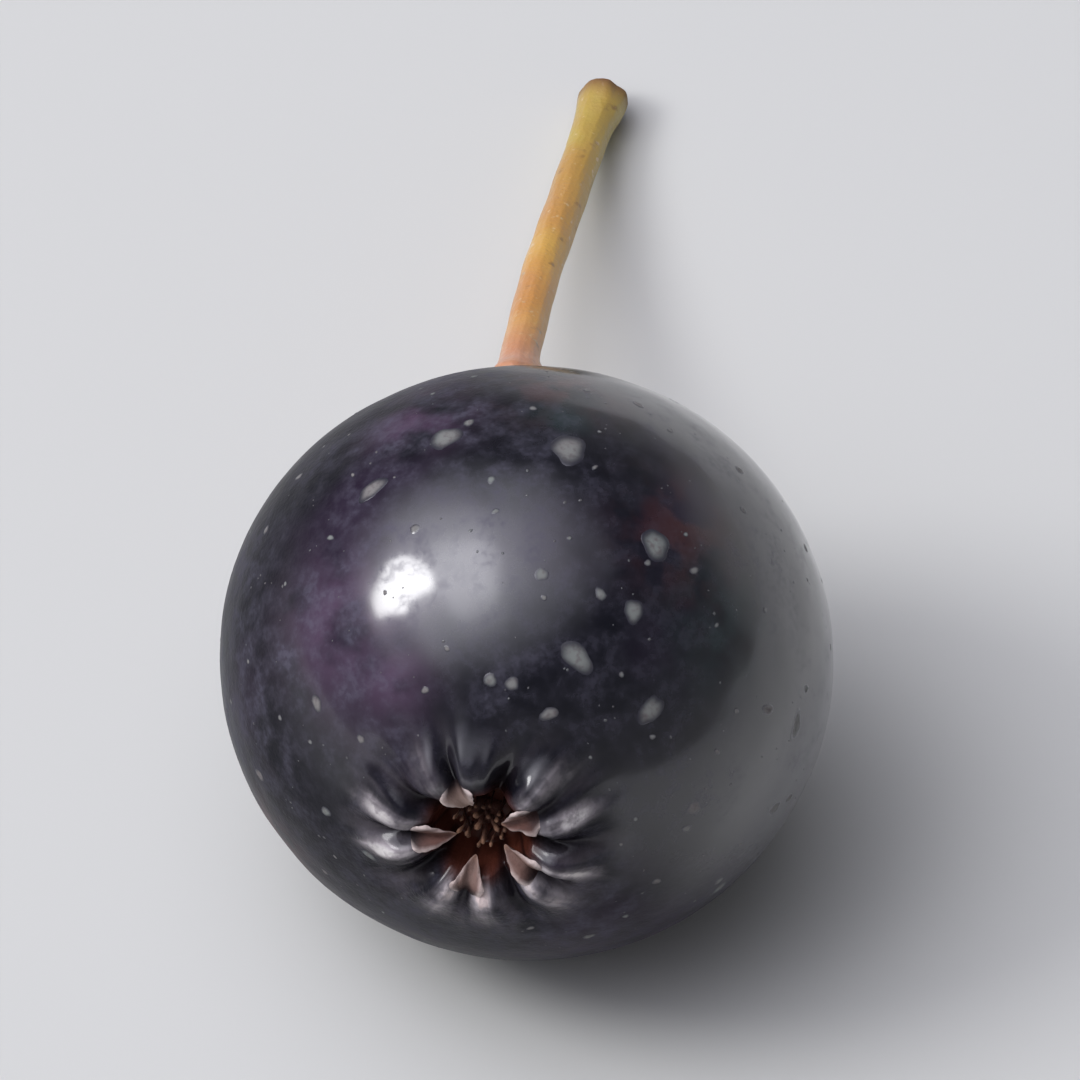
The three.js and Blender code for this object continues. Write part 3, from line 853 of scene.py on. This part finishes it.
def sepal_rings(index):
    """A thin leaf draped over the inner end of its lobe, out of which it grows: its root is under the skin.
    Its half width swells from the root and falls to a point, with a ragged edge. Its height is the skin's;
    past the lobe's end it runs on over the cup and curls with the square of the distance; and its edges
    turn up with the square of the distance across, most towards its tip. Its cross-section is a thin oval.
    Also how far each point is on the way to the tip, and how near it is to an edge."""
    middle, length, curl = lobe_middle(index), SEPAL_LENGTHS[index], SEPAL_CURLS[index]
    lobe_end, step = CUP_RADIUS + 0.2, 0.1
    t, turn = np.meshgrid(np.linspace(0, 1, SEPAL_RINGS), round_angles(SEPAL_SIDES), indexing="ij")
    radius = SEPAL_ROOT - t * length * (SEPAL_ROOT - SEPAL_TIP)
    ragged = (1 + 0.05 * np.sin(15 * t + 2.3 * index + np.sign(np.cos(turn)))
              + 0.025 * np.sin(37 * t + index))
    half_width = 0.012 + SEPAL_HALF_WIDTH * smooth(-0.1, 0.5, t) * (1 - t) ** 0.8 * ragged
    across = -half_width * np.cos(turn)

    def drape(distance):
        """The skin's height under the leaf at a distance from the axis."""
        return crown_height(distance, middle + across / distance)

    over = np.maximum(0, lobe_end - radius)
    slope = (drape(lobe_end + step) - drape(lobe_end)) / step
    crinkle = (0.02 * np.sin(9 * t + 5 * across + index)
               + 0.012 * np.sin(26 * across / SEPAL_HALF_WIDTH + 3 * t))
    half_thick = SEPAL_THICKNESS / 2 * np.sin(math.pi * (0.1 + 0.85 * t)) + 0.006
    emerged = smooth(0.05, 0.5, t)
    height = (drape(np.maximum(radius, lobe_end)) - over * slope * 0.7 + curl * over ** 2
              + 0.05 * emerged - (0.03 + 2 * half_thick) * (1 - emerged)
              + (SEPAL_CUPPING * across ** 2 + crinkle) * smooth(0.15, 0.65, t)
              + half_thick * (1 + np.sin(turn)))
    rings = np.stack([radius, across, height], -1) @ turn_about((0, 0, 1), math.degrees(middle)).T
    return rings, t, smooth(0.5, 0.95, np.abs(np.cos(turn)))


def make_sepals(finish):
    """The five tips, each a piece of its own."""
    for index in range(LOBES):
        rings, tipward, edge = sepal_rings(index)
        name, node = f"sepal_tip_{index + 1}", f"sepal_{index + 1}"
        make_body(name, laid_down(rings), finish, [node], {
            "tipward": tipward,
            "edge": edge,
            "paleness_and_light": np.full_like(edge, SEPAL_PALENESS_AND_LIGHT[index]),
        })


def thread_rings(foot, tip, bow, thick, club):
    """Threads as an array (threads, rings, sides, 3): quadratic curves from foot to tip, bowed by the
    given vectors, whose radius is uneven and swells to a club at the tip."""
    t = np.linspace(0, 1, THREAD_RINGS)[:, None]
    foot, tip, bow, thick = foot[:, None], tip[:, None], bow[:, None], thick[:, None]
    line = foot * (1 - t) ** 2 + 2 * ((foot + tip) / 2 + bow) * t * (1 - t) + tip * t ** 2
    way = unit(np.gradient(line, axis=1))
    side = unit(np.cross(way, [[[0.31, 0.87, 0.38]]]))
    t = t[:, 0]
    shape = 1 + club * smooth(0.78, 0.93, t) - 0.75 * smooth(0.95, 1.0, t)
    radius = thick * shape * (1 + 0.14 * np.sin(23 * t + 40 * thick))
    circle = circles(side, np.cross(way, side), round_angles(THREAD_SIDES))
    return line[:, :, None] + radius[..., None, None] * circle


def make_dried_flower(finish):
    """The withered flower in the cup: a low lumpy pad, five styles that lean apart from it, and a ring of
    stamens that shrank against the wall of the cup."""
    chance = np.random.default_rng(31)
    floor = float(crown_height(0.12, 0.0))
    angle = round_angles(PAD_SIDES)
    share, lift = np.array(PAD_RINGS).T[..., None]
    wavy = PAD_RADIUS * share * (1 + 0.12 * np.cos(5 * angle) + 0.06 * np.cos(7 * angle + 1))
    pad = round_axis(wavy, angle, floor + lift)[None]

    def threads(count, start, inner, outer, low, high, thick, club):
        """Threads spaced unevenly round the cup, from inner and low over its floor to outer and high.
        Their tips, bows and thicknesses differ by chance."""
        way = round_angles(count) + start + chance.normal(0, 0.16, count)
        out = round_axis(1, way, 0)
        reach = outer * chance.uniform(0.75, 1.1, count)
        foot = out * inner + [0, 0, floor + low]
        tip = out * reach[:, None] + chance.normal(0, 0.05, (count, 3)) + [0, 0, floor]
        tip[:, 2] += high * chance.uniform(0.75, 1.1, count)
        bow = -out * 0.12 + chance.normal(0, 0.05, (count, 3))
        return thread_rings(foot, tip, bow, thick * chance.uniform(0.8, 1.2, count), club)

    styles = threads(STYLES, 0.5, inner=0.1, outer=0.30, low=0.05, high=0.60, thick=0.045, club=0.35)
    stamens = threads(STAMENS, 0.2, inner=0.46, outer=0.47, low=0.02, high=0.60, thick=0.022, club=0.9)
    shapes = [laid_down(rings) for rings in (pad, styles, stamens)]
    along = np.linspace(0, 1, THREAD_RINGS)[None, :, None]
    tipward = [np.tile(along, (count, 1, THREAD_SIDES)) for count in (STYLES, STAMENS)]
    make_piece("dried_flower", shapes, finish, ["dried_styles"],
               {"tipward": [np.zeros(pad.shape[:3]), *tipward]})


# ---- The stalk ----

def stalk_line(t):
    """The stalk's centre line, a cubic curve: it leaves the hollow straight out, and ends with its knob on
    the resting surface, bent gently aside and still sloping a little."""
    foot_distance = float(body_height(STALK_FOOT_RADIUS)) - DIMPLE_DEPTH - 0.02
    foot = FRUIT_MIDDLE + FOOTWARDS * foot_distance
    end_way = direction(STALK_END_TURNED, STALK_END_SLOPE)
    handle = STALK_LENGTH / 3
    low = STALK_KNOB_RADIUS + 0.02
    heading = math.radians(STALK_HEADING)
    reach = math.sqrt((STALK_LENGTH * STALK_STRAIGHTNESS) ** 2 - (foot[2] - low) ** 2)
    knob = np.array([foot[0] + reach * math.sin(heading), foot[1] + reach * math.cos(heading), low])
    near, far = foot + FOOTWARDS * handle, knob - end_way * handle
    t = t[:, None]
    return foot * (1 - t) ** 3 + 3 * near * t * (1 - t) ** 2 + 3 * far * t ** 2 * (1 - t) + knob * t ** 3


def stalk_radius(along, turn):
    """The stalk's radius: even, flared at the fruit, swollen and rounded at the broken end, with a node and
    the scars of two fallen bracts, thin lengthwise wrinkles and a slow unevenness."""
    left = STALK_LENGTH - along

    def scar(place, side):
        """A bump at a place along the stalk, on one side of it."""
        return 0.1 * bell(along, place, 0.24) * bell(np.cos(turn - side), 1, 0.35)

    wrinkles = (0.004 * np.cos(9 * turn + 2.2 * np.sin(0.7 * along) + along)
                + 0.002 * np.cos(21 * turn - 3 * along))
    lumps = (0.008 * np.sin(1.7 * along + 1.4 * np.cos(turn))
             + 0.006 * np.sin(4.3 * along + 2 * np.sin(turn + 1)))
    torn = (0.022 * np.cos(4 * turn + 0.4) + 0.014 * np.cos(7 * turn)) * bell(left, 0.2, 0.3)
    plain = (STALK_RADIUS
             + (STALK_FOOT_RADIUS - STALK_RADIUS) * np.exp(-along / 0.55)
             + (STALK_KNOB_RADIUS - STALK_RADIUS) * bell(left, 0.4, 0.6)
             + 0.08 * bell(along, STALK_NODE, 0.4)
             + scar(STALK_NODE - 0.15, 0.9) + scar(STALK_NODE + 0.25, 3.6)
             + (wrinkles + lumps) * smooth(0.2, 1.2, along) + torn)
    return plain * (1 - 0.5 * (1 - smooth(0, 0.34, left)) ** 2)


def carried_round(line, angles):
    """For each point of a line, the directions at the angles in the plane square to it. They turn about
    the line as little as they can on the way."""
    way = unit(np.gradient(line, axis=0))
    side = np.zeros_like(line)
    start = np.zeros(3)
    start[np.abs(way[0]).argmin()] = 1
    side[0] = np.cross(way[0], unit(np.cross(way[0], start)))
    for k in range(1, len(line)):
        side[k] = unit(side[k - 1] - way[k] * (side[k - 1] @ way[k]))
    return circles(side, np.cross(way, side), angles)


def make_stalk(finish):
    """The stalk, with a broken end that is a shallow torn cup."""
    t, angles = np.linspace(0, 1, STALK_RINGS), round_angles(STALK_SIDES)
    line = stalk_line(t)
    circle = carried_round(line, angles)
    along, turn = np.meshgrid(t * STALK_LENGTH, angles, indexing="ij")
    radius = stalk_radius(along, turn)
    way = unit(line[-1] - line[-2])
    inner = [line[-1] + circle[-1] * (radius[-1] * share)[:, None] + way * push for share, push in TORN_CUP]
    rings = np.concatenate([line[:, None] + circle * radius[..., None], inner])
    rings[..., 2] = np.maximum(rings[..., 2], 0)
    sunny = np.clip(0.5 + 0.5 * (circle[..., 2] * 0.8 - circle[..., 0] * 0.6), 0, 1)
    sunny = np.concatenate([sunny, np.full((len(inner), STALK_SIDES), 0.5)])
    along = np.concatenate([along, np.full((len(inner), STALK_SIDES), STALK_LENGTH)])
    make_body("stalk_bark", rings, finish, ["stalk"], {
        "along": along / STALK_LENGTH,
        "sunny": sunny,
        "knob": 1 - smooth(0.1, 0.75, STALK_LENGTH - along),
    })


# ---- Surroundings ----

def make_floor():
    """A plain pale floor under the berry."""
    pale = Finish("pale_floor", IOR=1.4)
    mesh = bpy.data.meshes.new("floor")
    reach = 2.0
    corners = [(-reach, -reach, 0), (reach, -reach, 0), (reach, reach, 0), (-reach, reach, 0)]
    mesh.from_pydata(corners, [], [(0, 1, 2, 3)])
    mesh.materials.append(pale.dress(Base_Color=(0.63, 0.63, 0.605), Roughness=0.7))
    floor = add_object("floor", mesh)


def aim_object(thing, place, aim):
    """Puts a lamp or camera at a place and turns it towards another, both in metres."""
    thing.location = place
    thing.rotation_euler = (Vector(aim) - Vector(place)).to_track_quat("-Z", "Y").to_euler()


def make_lamp(name, place, aim, size, power):
    """A soft round lamp at a place, aimed at a point, in metres and watts."""
    light = bpy.data.lights.new(name, "AREA")
    light.shape, light.size, light.energy = "DISK", size, power
    lamp = add_object(name, light)
    lamp.visible_camera = False
    aim_object(lamp, place, aim)


def make_sky():
    """Soft light from all round: a pale horizon that darkens overhead, three glows, one inside another,
    high on the left, a faint one low on the right, and a pale backdrop for the camera."""
    world = bpy.data.worlds.new("studio")
    bpy.context.scene.world = world
    world.use_nodes = True
    sky = Wiring(world.node_tree)
    view = sky.tree.nodes.new("ShaderNodeTexCoord").outputs["Generated"]

    def towards(way):
        """How nearly a direction points a given way: the cosine of the angle between them."""
        node = sky.tree.nodes.new("ShaderNodeVectorMath")
        node.operation = "DOT_PRODUCT"
        node.inputs[1].default_value = Vector(way).normalized()
        sky.feed(node.inputs[0], view)
        return node.outputs["Value"]

    overhead = sky.maths("POWER", sky.ramp(towards((0, 0, 1)), 0, 0.8, kind="LINEAR"), 0.45)
    light = sky.mix(overhead, (0.34, 0.34, 0.35), (0.03, 0.032, 0.04))
    for way, rim, strength in (((-0.37, 0.06, 0.93), 0.62, (1.5, 1.51, 1.7)),
                               ((-0.52, 0.0, 0.85), 0.82, (1.3, 1.3, 1.4)),
                               ((-0.44, -0.05, 0.90), 0.95, (2.4, 2.4, 2.5)),
                               ((0.85, 0.50, 0.03), 0.84, (0.26, 0.26, 0.26))):
        light = sky.mix(sky.ramp(towards(way), rim, 1.0), light, strength, "ADD")
    seen = sky.tree.nodes.new("ShaderNodeLightPath").outputs["Is Camera Ray"]
    sky.feed(sky.tree.nodes["Background"].inputs["Color"], sky.mix(seen, light, (0.68, 0.68, 0.67)))


def make_camera():
    """The camera looks down at the berry from the front: distance and width of the view in millimetres."""
    raised, distance, width, sensor = math.radians(56), 310, 20.4, 36
    aim = np.array([0.25, 2.75, 5.6])
    place = aim + distance * np.array([0, -math.cos(raised), math.sin(raised)])
    lens = bpy.data.cameras.new("camera")
    lens.sensor_width = sensor
    lens.lens = sensor * distance / width
    lens.clip_start, lens.clip_end = 0.01, 10
    camera = add_object("camera", lens)
    aim_object(camera, place * MM, aim * MM)
    bpy.context.scene.camera = camera


make_camera()
make_fruit(berry_skin())
make_lenticels(corky_lenticels())
make_sepals(dried_sepal_skin())
make_dried_flower(withered_flower())
make_stalk(stalk_bark())
make_floor()
make_lamp("key_lamp", place=(-0.183, -0.012, 0.181), aim=(0, 0, 0.005), size=0.085, power=0.22)
make_sky()
bpy.context.scene.view_settings.view_transform = "Standard"
